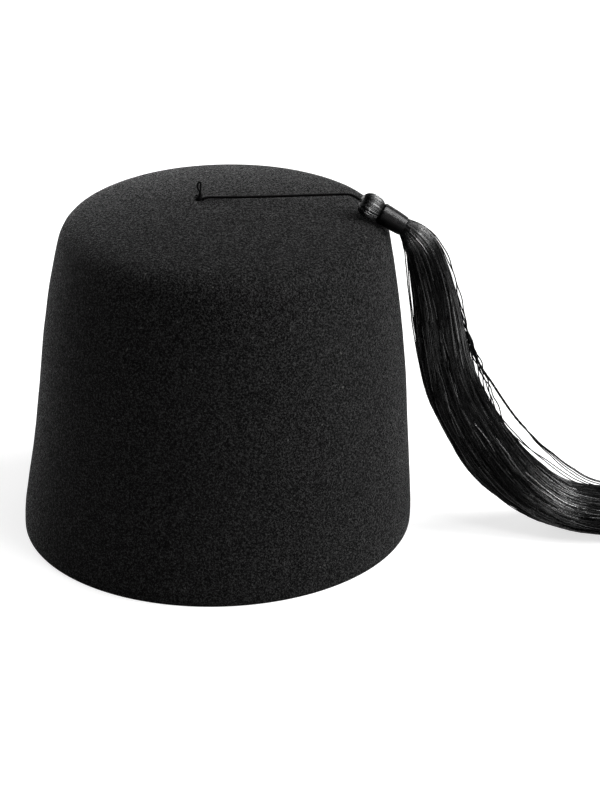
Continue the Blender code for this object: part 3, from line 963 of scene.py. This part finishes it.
# rings of a thread near the neck, where they end, and how many follow
RINGS_NEAR = (-0.0016, 0.0, 0.0012, 0.0024, 0.0036, 0.0050, 0.0066, 0.0085, 0.0110, 0.0145, 0.0190)
RINGS_FAR_FROM = 0.0240
RINGS_FAR = 43
THREAD_SIDES = 4
# how unevenly the threads are cut, and how far past the skirt's length the longest go
CUT_UNEVENNESS = 0.0035
CUT_PAST = 0.0012
LOCK_JITTER = 0.25
LOCK_DEPTH = 0.55
LOCK_WAVES = (0.11, 0.19, 0.31)
LOCK_DRIFT = 0.16
LOCK_WIDTH = 1.15
DEPTH_POWER = 1.4
LOCK_GATHER = (
    # along the skirt, share of its width that each small lock fills
    (0.00, 1.00),
    (0.02, 0.92),
    (0.08, 0.80),
    (0.20, 0.78),
    (SKIRT_LENGTH, 0.95),
)
TURN_WAVES = (0.045, 0.09, 0.17)
TURN_DRIFT = 16.0
DEPTH_WAVES = (0.05, 0.12)
DEPTH_DRIFT = 7.0
# how much a thread's own depth and that of its lock count, and how round a lock is
OWN_SHARE = 0.55
LOCK_SHARE = 0.45
LOCK_ROUND = 0.05
# at the neck all locks lie equally deep and flat, and they get their form over these lengths
DEEP_OVER = 0.03
ROUND_OVER = 0.02
SHARE_LIMITS = (0.5, 1.02)
FLOOR_LAYERS = 0.0006
THREAD_RANGE = (0.85, 1.12)
THREADS_PAINTED_HIGHLIGHTS = (
    # places of painted highlights, where the threads' tone is raised: most, middle along the skirt, width
    (0.62, 0.000, 0.014),
    (0.30, 0.062, 0.020),
    (0.50, 0.168, 0.017),
)
# the same for the one place of painted shade, where their tone is lowered
THREADS_PAINTED_SHADE = (0.20, 0.140, 0.015)


def thread_stations(count):
    """Distances along the skirt of each thread's rings. The threads differ in length."""
    far = np.linspace(RINGS_FAR_FROM, SKIRT_LENGTH, RINGS_FAR)
    stations = np.concatenate((RINGS_NEAR, far))
    ends = SKIRT_LENGTH - np.abs(rng.normal(0, CUT_UNEVENNESS, count)) + CUT_PAST
    stretch = (ends - RINGS_FAR_FROM) / (SKIRT_LENGTH - RINGS_FAR_FROM)
    past = np.maximum(stations - RINGS_FAR_FROM, 0.0)
    return np.minimum(stations, RINGS_FAR_FROM) + past * stretch[:, None]


def hump(along, most, middle, width):
    """Smooth hump along the skirt."""
    return most * np.exp(-((along - middle) / width) ** 2)


def build_threads(name, count, locks, depth_low, depth_high, thread, amplitude):
    """A layer of long threads, gathered in small locks."""
    along = thread_stations(count)
    lock = np.sort(rng.integers(0, locks, count))
    jitter = rng.uniform(-LOCK_JITTER, LOCK_JITTER, locks)
    lock_turn = 2 * np.pi * (np.arange(locks) + jitter) / locks
    lock_depth = rng.uniform(0.0, LOCK_DEPTH, locks)
    first = np.broadcast_to(along[0], (locks, along.shape[1]))
    lock_drift = wander(locks, first, LOCK_WAVES, LOCK_DRIFT)
    offset = rng.uniform(-1, 1, count)
    depth = rng.uniform(0, 1, count) ** DEPTH_POWER
    in_lock = np.pi / locks * LOCK_WIDTH * from_table(LOCK_GATHER, along) * offset[:, None]
    own_drift = TURN_DRIFT * wander(count, along, TURN_WAVES, amplitude)
    turn = lock_turn[lock][:, None] + lock_drift[lock] + in_lock + own_drift
    lock_deep = lock_depth[lock][:, None] * np.interp(along, (0, DEEP_OVER), (0, 1))
    deep = OWN_SHARE * depth[:, None] + LOCK_SHARE * lock_deep
    share = depth_high - (depth_high - depth_low) * deep
    share = share - LOCK_ROUND * (offset[:, None] ** 2) * np.interp(along, (0, ROUND_OVER), (0, 1))
    share = share + wander(count, along, DEPTH_WAVES, amplitude * DEPTH_DRIFT)
    share = np.clip(share, *SHARE_LIMITS)
    lines = skirt_place(along, share * np.cos(turn), share * np.sin(turn))
    keep_above_floor(lines, thread + FLOOR_LAYERS * rng.uniform(0, 1, (count, 1)))
    radii = thread * rng.uniform(*THREAD_RANGE, (count, 1)) * np.ones_like(along)
    # painted highlights and shade: the threads' tone is raised near the neck, partway down and late in the
    # bend, and lowered earlier in the bend
    tone_lift = sum(hump(along, *place) for place in THREADS_PAINTED_HIGHLIGHTS)
    tone_drop = hump(along, *THREADS_PAINTED_SHADE)
    mesh = threads_mesh(name, lines, radii, THREAD_SIDES, Y_AXIS, lock, tone_lift, tone_drop)
    add_piece(name, mesh, SILK, "tassel_skein")


# ---------------------------------------- skirt: cut end

CUT_THREADS = 1100
CUT_THREAD_RADIUS = 0.00033
CUT_SIDES = 5
CUT_RINGS = 5
# how far inside the skirt's end the short threads start
CUT_INSIDE = 0.022
CUT_SHORTER = 0.0028
CUT_SHORTEST = 0.0075
CUT_LONGER = 0.0006
CUT_TURN_DRIFT = 0.05
CUT_SHARE = 0.90
CUT_SHARE_DRIFT = 0.03
CUT_SHARE_LIMIT = 0.95


def build_cut_end():
    """Threads that fill the skirt's cut end, from inside the dark bundle to just past it."""
    each = (CUT_THREADS, 1)
    t = np.linspace(0, 1, CUT_RINGS)
    starts = np.full(each, SKIRT_LENGTH - CUT_INSIDE)
    shorter = np.minimum(np.abs(rng.normal(0, CUT_SHORTER, each)), CUT_SHORTEST)
    ends = SKIRT_LENGTH - shorter + CUT_LONGER
    along = starts + (ends - starts) * t
    turn = rng.uniform(0, 2 * np.pi, each) + CUT_TURN_DRIFT * rng.normal(0, 1, each) * t
    share = CUT_SHARE * np.sqrt(rng.uniform(0, 1, each)) + CUT_SHARE_DRIFT * rng.normal(0, 1, each) * t
    share = np.clip(share, 0.0, CUT_SHARE_LIMIT)
    lines = skirt_place(along, share * np.cos(turn), share * np.sin(turn))
    keep_above_floor(lines, CUT_THREAD_RADIUS)
    mesh = threads_mesh("skirt_cut_end", lines, CUT_THREAD_RADIUS, CUT_SIDES, Y_AXIS)
    add_piece("skirt_cut_end", mesh, CUT_THREAD, "tassel_skein")


# ---------------------------------------- skirt: loose threads

STRAYS = (
    # turn in degrees round the skirt, leaves, rejoins, gap, skew
    (180, 0.006, 0.044, 0.0019, 1.0),
    (176, 0.012, 0.078, 0.0020, 1.0),
    (184, 0.034, 0.084, 0.0019, 1.1),
    (177, 0.044, 0.092, 0.0028, 1.2),
    (181, 0.050, 0.096, 0.0038, 1.3),
    (172, 0.054, 0.110, 0.0030, 1.2),
    (183, 0.058, 0.118, 0.0036, 1.3),
    (178, 0.042, 0.104, 0.0046, 1.5),
    (182, 0.046, 0.084, 0.0020, 1.0),
    (174, 0.100, 0.208, 0.0034, 1.2),
    (186, 0.112, 0.206, 0.0026, 1.1),
    (179, 0.120, 0.204, 0.0052, 1.1),
    (2, 0.003, 0.080, 0.0021, 0.8),
    (-7, 0.010, 0.066, 0.0016, 1.0),
    (95, 0.030, 0.120, 0.0012, 1.0),
    (262, 0.040, 0.150, 0.0015, 1.0),
)
LONG_STRAY = (
    # along the skirt, gap beside the close threads
    (0.056, 0.0000),
    (0.066, 0.0021),
    (0.078, 0.0036),
    (0.090, 0.0054),
    (0.110, 0.0065),
    (0.130, 0.0078),
    (0.150, 0.0090),
    (0.170, 0.0094),
    (0.190, 0.0062),
    (0.205, 0.0028),
    (0.216, 0.0000),
)
# how far each of the long loose threads lies beside their common line
LONG_SPLIT = (-0.0024, -0.0011, -0.0001, 0.0005)
SPLIT_FROM = 0.124
SPLIT_OVER = 0.045
SPLIT_SIDEWAYS = 0.02
TWINE_RADIUS = 0.00030
TWINE_PITCH = 0.016
TWINE_FADE = 0.02
TWINE_GAP = 0.0005
STRAY_RADIUS = 0.00032
STRAY_SIDES = 5
STRAY_RINGS = 110
STRAY_START = 0.001
STRAY_END = 0.004
STRAY_SHARE = 0.97
STRAY_WAVES = (0.05, 0.12)
STRAY_DRIFT = 0.03
STRAY_TUCKED = 0.40
STRAY_FINENESS = (
    # along the skirt, share of the radius of the threads that bow out furthest
    (0.115, 1.00),
    (0.145, 0.84),
)
# strays that rejoin after this are fine
FINE_AFTER = 0.20
# strays that rejoin before this and leave on the outer side, past this turn, are crinkled
CRINKLED_BEFORE = 0.15
CRINKLED_PAST = 150
CRINKLE = 0.12
CRINKLE_LENGTH = 0.013


def stray_line(stations, bow, turn):
    """One loose thread, which bows out from the skirt's edge."""
    return skirt_place(stations, STRAY_SHARE * np.cos(turn), STRAY_SHARE * np.sin(turn), bow, turn)


def long_stray_line(stations, k, split):
    """One of the long loose threads, which are twisted together at first and then apart."""
    twist = 2 * np.pi * (stations / TWINE_PITCH + k / len(LONG_SPLIT))
    turn = np.full(len(stations), math.pi)
    bow = from_table(LONG_STRAY, stations)
    bow = bow + split * np.clip((stations - SPLIT_FROM) / SPLIT_OVER, 0, 1) * (bow > 0)
    twined = TWINE_RADIUS * (1 - np.clip((stations - SPLIT_FROM) / TWINE_FADE, 0, 1)) * (bow > TWINE_GAP)
    bow = np.maximum(bow, 0.0) + twined * np.cos(twist)
    line = stray_line(stations, bow, turn)
    line[..., 1] += twined * np.sin(twist) + SPLIT_SIDEWAYS * split * (bow > 0)
    return line


def build_strays():
    """Loose threads that leave the skirt, bow out beside it and lie against it again."""
    stations = np.linspace(STRAY_START, SKIRT_LENGTH - STRAY_END, STRAY_RINGS)
    plain = np.full(STRAY_RINGS, STRAY_RADIUS)
    fine = STRAY_RADIUS * from_table(STRAY_FINENESS, stations)
    lines = []
    radii = []
    for degrees, leaves, rejoins, gap, skew in STRAYS:
        drift = wander(1, stations[None, :], STRAY_WAVES, STRAY_DRIFT)[0]
        gone = np.clip((stations - leaves) / (rejoins - leaves), 0, 1)
        bow = gap * np.sin(np.pi * gone ** skew)
        if rejoins < CRINKLED_BEFORE and degrees > CRINKLED_PAST:
            bow = bow * (1 + CRINKLE * np.sin(2 * np.pi * stations / CRINKLE_LENGTH + degrees))
        lines.append(stray_line(stations, bow, math.radians(degrees) + drift))
        radii.append(fine if rejoins > FINE_AFTER else plain)
    for k, split in enumerate(LONG_SPLIT):
        lines.append(long_stray_line(stations, k, split))
        radii.append(fine)
    lines = np.array(lines)
    keep_above_floor(lines, STRAY_RADIUS)
    mesh = threads_mesh("stray_threads", lines, np.array(radii), STRAY_SIDES, Y_AXIS, tone_drop=STRAY_TUCKED)
    add_piece("stray_threads", mesh, SILK, "tassel_skein")


build_core()
for layer in LAYERS:
    build_threads(*layer)
build_cut_end()
build_strays()

# ---------------------------------------- stage and lights

FLOOR_HALF_SIZE = 9.0
FLOOR_GREY = 0.52
FLOOR_GREY_SPECK = 0.995
# the floor's glow near the hat, and the distances from which and to which it grows to full white
FLOOR_GLOW = 0.70
GLOW_FROM = 0.6
GLOW_TO = 2.4
LIGHT_DISTANCE = 1.5
LIGHT_AIM = Vector((0.02, 0.0, 0.10))
LIGHTS = (
    # name, azimuth, elevation, size, power
    ("key", 90, 35, 1.10, 32.0),
    ("key_high", 60, 72, 0.60, 4.5),
    ("key_low", 77, 28, 0.80, 5.0),
    ("front_right", 35, 30, 0.80, 3.0),
    ("sparkle", 45, 46, 0.35, 6.5),
    ("back_left", -145, 18, 1.00, 11.5),
    ("left", -110, 18, 1.00, 6.5),
    ("back_right", 150, 30, 1.00, 2.5),
)


def floor_material():
    """Matt paper with a glow that only the camera sees, which keeps the shadows pale."""
    n = Nodes("pale_floor")
    speck = n.noise(3.0, 2.0, 0.5)
    shade = n.mix(speck, grey(FLOOR_GREY_SPECK * FLOOR_GREY), grey(FLOOR_GREY))
    seen = n.tree.nodes.new("ShaderNodeLightPath").outputs["Is Camera Ray"]
    distance = n.tree.nodes.new("ShaderNodeVectorMath")
    distance.operation = "LENGTH"
    n.put(distance.inputs[0], n.place)
    glow = n.span(distance.outputs["Value"], GLOW_FROM, GLOW_TO, FLOOR_GLOW, 1.0)
    return n.set(Base_Color=shade, Roughness=0.9, Specular_IOR_Level=0.1,
                 Emission_Color=grey(1.0), Emission_Strength=n.math("MULTIPLY", seen, glow))


def build_stage():
    """Large flat floor."""
    mesh = bpy.data.meshes.new("floor")
    far = FLOOR_HALF_SIZE
    corners = [(-far, -far, 0), (far, -far, 0), (far, far, 0), (-far, far, 0)]
    mesh.from_pydata(corners, [], [(0, 1, 2, 3)])
    mesh.materials.append(floor_material())
    floor = bpy.data.objects.new("floor", mesh)
    bpy.context.scene.collection.objects.link(floor)


def area_light(name, place, aim, size, power):
    """Round soft lamp that points at one place."""
    data = bpy.data.lights.new(name, "AREA")
    data.shape = "DISK"
    data.size = size
    data.energy = power
    light = bpy.data.objects.new(name, data)
    light.location = place
    light.rotation_mode = "QUATERNION"
    light.rotation_quaternion = (place - aim).to_track_quat("Z", "Y")
    bpy.context.scene.collection.objects.link(light)


def make_surroundings():
    """Surroundings that look white but give no light."""
    world = bpy.data.worlds.new("studio")
    world.use_nodes = True
    tree = world.node_tree
    seen = tree.nodes.new("ShaderNodeLightPath")
    background = tree.nodes["Background"]
    background.inputs["Color"].default_value = grey(1.0)
    tree.links.new(seen.outputs["Is Camera Ray"], background.inputs["Strength"])
    bpy.context.scene.world = world


def build_lights():
    """Soft lamps round the hat."""
    for name, azimuth, elevation, size, power in LIGHTS:
        out = direction(math.radians(azimuth), math.radians(elevation))
        area_light(name, LIGHT_AIM + LIGHT_DISTANCE * out, LIGHT_AIM, size, power)


build_stage()
make_surroundings()
build_lights()
bpy.context.scene.view_settings.view_transform = "Standard"
bpy.context.scene.view_settings.look = "None"
